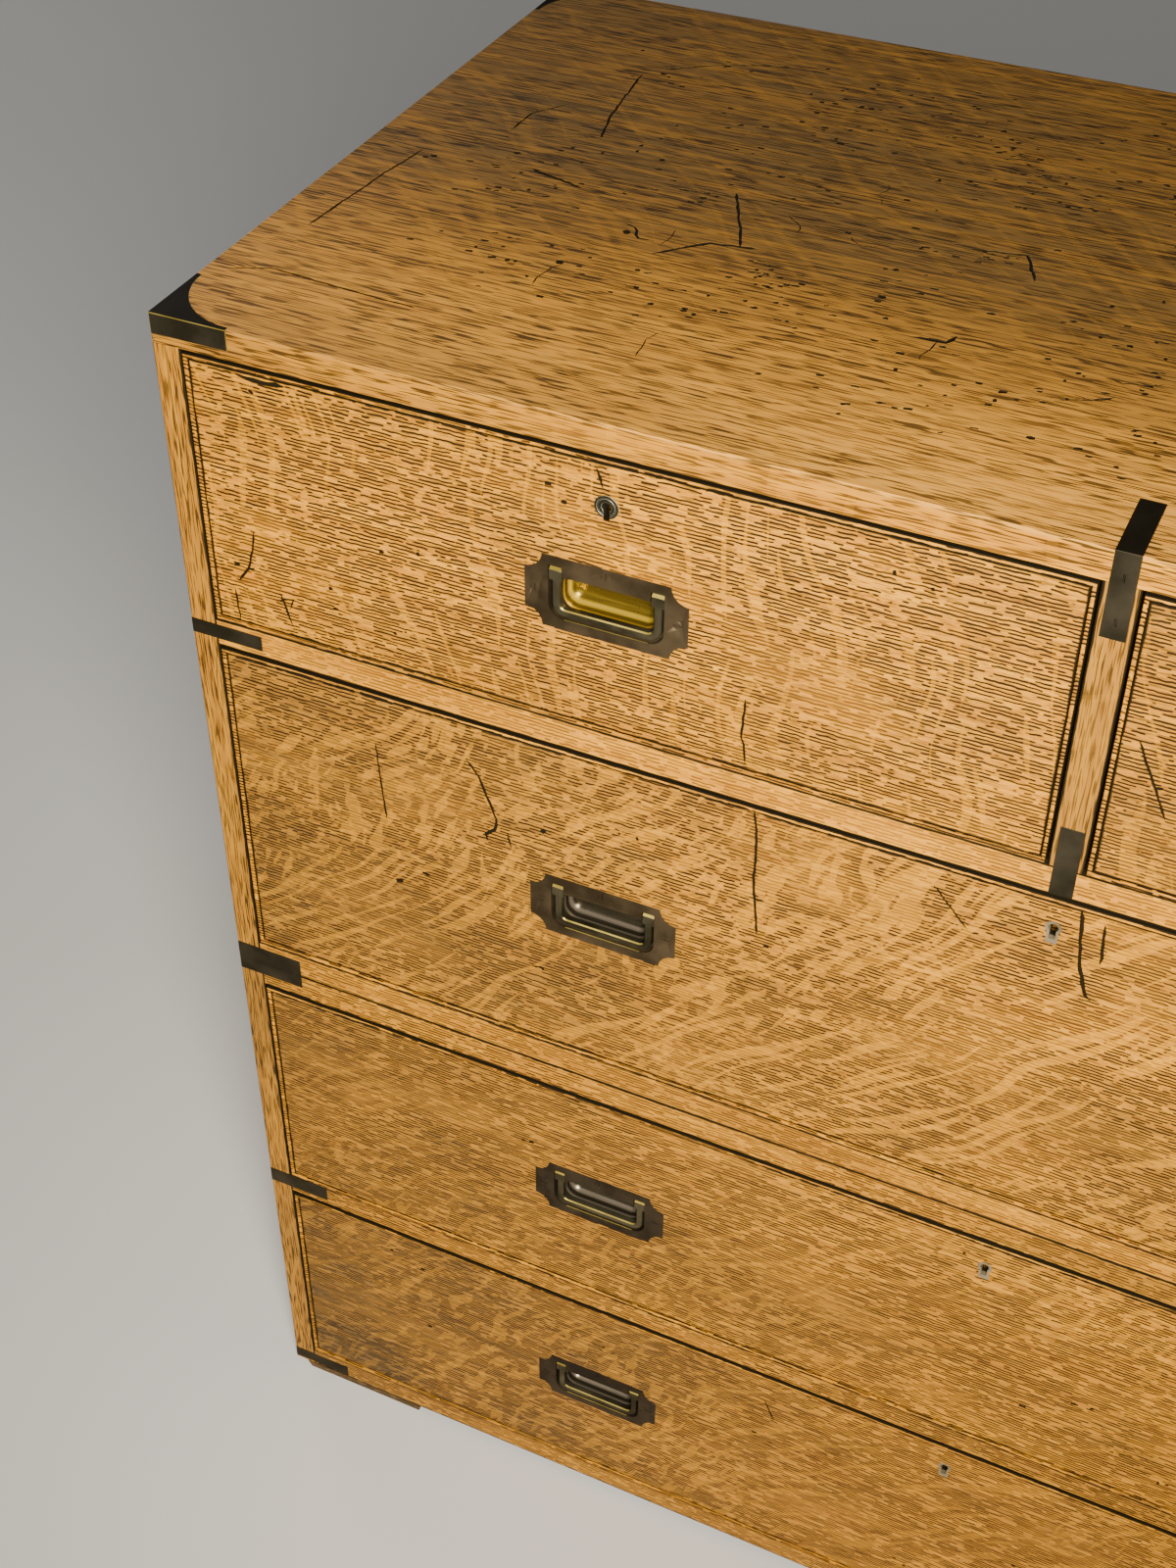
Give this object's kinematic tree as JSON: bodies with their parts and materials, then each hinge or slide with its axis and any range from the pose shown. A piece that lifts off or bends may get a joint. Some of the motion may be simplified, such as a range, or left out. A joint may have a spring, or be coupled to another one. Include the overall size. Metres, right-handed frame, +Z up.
{
  "type": "campaign chest",
  "caption": "Two-part oak campaign chest with half-width drawers above full-width ones, sunk swinging brass handles, and brass corners and straps let in flush.",
  "frame": {"origin": "middle of the footprint, on the floor", "axes": "+Z up, +X across the width, drawers open towards -Y"},
  "size_m": [0.992, 0.487, 0.894],
  "materials": {
    "oak": "worn satin",
    "bead_oak": "worn satin",
    "inner_wood": "unfinished",
    "strap_brass": "dark patina",
    "plate_brass": "dark patina, bright pan",
    "bail_brass": "dark patina, worn edges",
    "lock_brass": "dull"
  },
  "bodies": {
    "lower_case": {"lower_sides": "oak", "lower_top_board": "oak", "lower_bottom_board": "oak", "lower_divider": "oak", "lower_back": "inner_wood", "corner_pads": "oak", "locating_pegs": "inner_wood", "lower_straps": "strap_brass"},
    "upper_case": {"upper_sides": "oak", "top_board": "oak", "upper_base_board": "oak", "upper_divider": "oak", "upper_back": "inner_wood", "centre_stile": "oak", "centre_partition": "inner_wood", "upper_straps": "strap_brass", "top_corner_brackets": "strap_brass"},
    "top_left_drawer": {"top_left_drawer_front": "oak", "top_left_drawer_cock_beads": "bead_oak", "top_left_drawer_box": "inner_wood", "top_left_drawer_bottom": "inner_wood", "top_left_drawer_handle_plate": "plate_brass", "top_left_drawer_lock": "lock_brass"},
    "top_right_drawer": {"top_right_drawer_front": "oak", "top_right_drawer_cock_beads": "bead_oak", "top_right_drawer_box": "inner_wood", "top_right_drawer_bottom": "inner_wood", "top_right_drawer_handle_plate": "plate_brass", "top_right_drawer_lock": "lock_brass"},
    "second_drawer": {"second_drawer_front": "oak", "second_drawer_cock_beads": "bead_oak", "second_drawer_box": "inner_wood", "second_drawer_bottom": "inner_wood", "second_drawer_handle_plates": "plate_brass", "second_drawer_lock": "lock_brass"},
    "third_drawer": {"third_drawer_front": "oak", "third_drawer_cock_beads": "bead_oak", "third_drawer_box": "inner_wood", "third_drawer_bottom": "inner_wood", "third_drawer_handle_plates": "plate_brass", "third_drawer_lock": "lock_brass"},
    "bottom_drawer": {"bottom_drawer_front": "oak", "bottom_drawer_cock_beads": "bead_oak", "bottom_drawer_box": "inner_wood", "bottom_drawer_bottom": "inner_wood", "bottom_drawer_handle_plates": "plate_brass", "bottom_drawer_lock": "lock_brass"},
    "bottom_drawer_left_bail": {"bottom_drawer_left_bail": "bail_brass"},
    "bottom_drawer_right_bail": {"bottom_drawer_right_bail": "bail_brass"},
    "third_drawer_left_bail": {"third_drawer_left_bail": "bail_brass"},
    "third_drawer_right_bail": {"third_drawer_right_bail": "bail_brass"},
    "second_drawer_left_bail": {"second_drawer_left_bail": "bail_brass"},
    "second_drawer_right_bail": {"second_drawer_right_bail": "bail_brass"},
    "top_left_drawer_bail": {"top_left_drawer_bail": "bail_brass"},
    "top_right_drawer_bail": {"top_right_drawer_bail": "bail_brass"},
    "top_left_drawer_lock_bolt": {"top_left_drawer_lock_bolt": "lock_brass"},
    "top_right_drawer_lock_bolt": {"top_right_drawer_lock_bolt": "lock_brass"},
    "second_drawer_lock_bolt": {"second_drawer_lock_bolt": "lock_brass"},
    "third_drawer_lock_bolt": {"third_drawer_lock_bolt": "lock_brass"},
    "bottom_drawer_lock_bolt": {"bottom_drawer_lock_bolt": "lock_brass"}
  },
  "joints": [
    {"name": "upper_case_lift", "type": "slide", "parent": "lower_case", "child": "upper_case", "axis": [0, 0, 1], "range_m": [0, 0.1]},
    {"name": "top_left_drawer_slide", "type": "slide", "parent": "upper_case", "child": "top_left_drawer", "axis": [0, -1, 0], "range_m": [0, 0.34]},
    {"name": "top_right_drawer_slide", "type": "slide", "parent": "upper_case", "child": "top_right_drawer", "axis": [0, -1, 0], "range_m": [0, 0.34]},
    {"name": "second_drawer_slide", "type": "slide", "parent": "upper_case", "child": "second_drawer", "axis": [0, -1, 0], "range_m": [0, 0.34]},
    {"name": "third_drawer_slide", "type": "slide", "parent": "lower_case", "child": "third_drawer", "axis": [0, -1, 0], "range_m": [0, 0.34]},
    {"name": "bottom_drawer_slide", "type": "slide", "parent": "lower_case", "child": "bottom_drawer", "axis": [0, -1, 0], "range_m": [0, 0.34]},
    {"name": "bottom_drawer_left_bail_swing", "type": "hinge", "parent": "bottom_drawer", "child": "bottom_drawer_left_bail", "pos_m": [-0.244, -0.2382, 0.1293], "axis": [-1, 0, 0], "range_deg": [0, 90]},
    {"name": "bottom_drawer_right_bail_swing", "type": "hinge", "parent": "bottom_drawer", "child": "bottom_drawer_right_bail", "pos_m": [0.244, -0.2382, 0.1293], "axis": [-1, 0, 0], "range_deg": [0, 90]},
    {"name": "third_drawer_left_bail_swing", "type": "hinge", "parent": "third_drawer", "child": "third_drawer_left_bail", "pos_m": [-0.244, -0.2382, 0.3368], "axis": [-1, 0, 0], "range_deg": [0, 90]},
    {"name": "third_drawer_right_bail_swing", "type": "hinge", "parent": "third_drawer", "child": "third_drawer_right_bail", "pos_m": [0.244, -0.2382, 0.3368], "axis": [-1, 0, 0], "range_deg": [0, 90]},
    {"name": "second_drawer_left_bail_swing", "type": "hinge", "parent": "second_drawer", "child": "second_drawer_left_bail", "pos_m": [-0.244, -0.2382, 0.5863], "axis": [-1, 0, 0], "range_deg": [0, 90]},
    {"name": "second_drawer_right_bail_swing", "type": "hinge", "parent": "second_drawer", "child": "second_drawer_right_bail", "pos_m": [0.244, -0.2382, 0.5863], "axis": [-1, 0, 0], "range_deg": [0, 90]},
    {"name": "top_left_drawer_bail_swing", "type": "hinge", "parent": "top_left_drawer", "child": "top_left_drawer_bail", "pos_m": [-0.244, -0.2382, 0.8016], "axis": [-1, 0, 0], "range_deg": [0, 90]},
    {"name": "top_right_drawer_bail_swing", "type": "hinge", "parent": "top_right_drawer", "child": "top_right_drawer_bail", "pos_m": [0.244, -0.2382, 0.8016], "axis": [-1, 0, 0], "range_deg": [0, 90]},
    {"name": "top_left_drawer_lock_bolt_throw", "type": "slide", "parent": "top_left_drawer", "child": "top_left_drawer_lock_bolt", "axis": [0, 0, 1], "range_m": [0, 0.0075]},
    {"name": "top_right_drawer_lock_bolt_throw", "type": "slide", "parent": "top_right_drawer", "child": "top_right_drawer_lock_bolt", "axis": [0, 0, 1], "range_m": [0, 0.0075]},
    {"name": "second_drawer_lock_bolt_throw", "type": "slide", "parent": "second_drawer", "child": "second_drawer_lock_bolt", "axis": [0, 0, 1], "range_m": [0, 0.0075]},
    {"name": "third_drawer_lock_bolt_throw", "type": "slide", "parent": "third_drawer", "child": "third_drawer_lock_bolt", "axis": [0, 0, 1], "range_m": [0, 0.0075]},
    {"name": "bottom_drawer_lock_bolt_throw", "type": "slide", "parent": "bottom_drawer", "child": "bottom_drawer_lock_bolt", "axis": [0, 0, 1], "range_m": [0, 0.0075]}
  ]
}
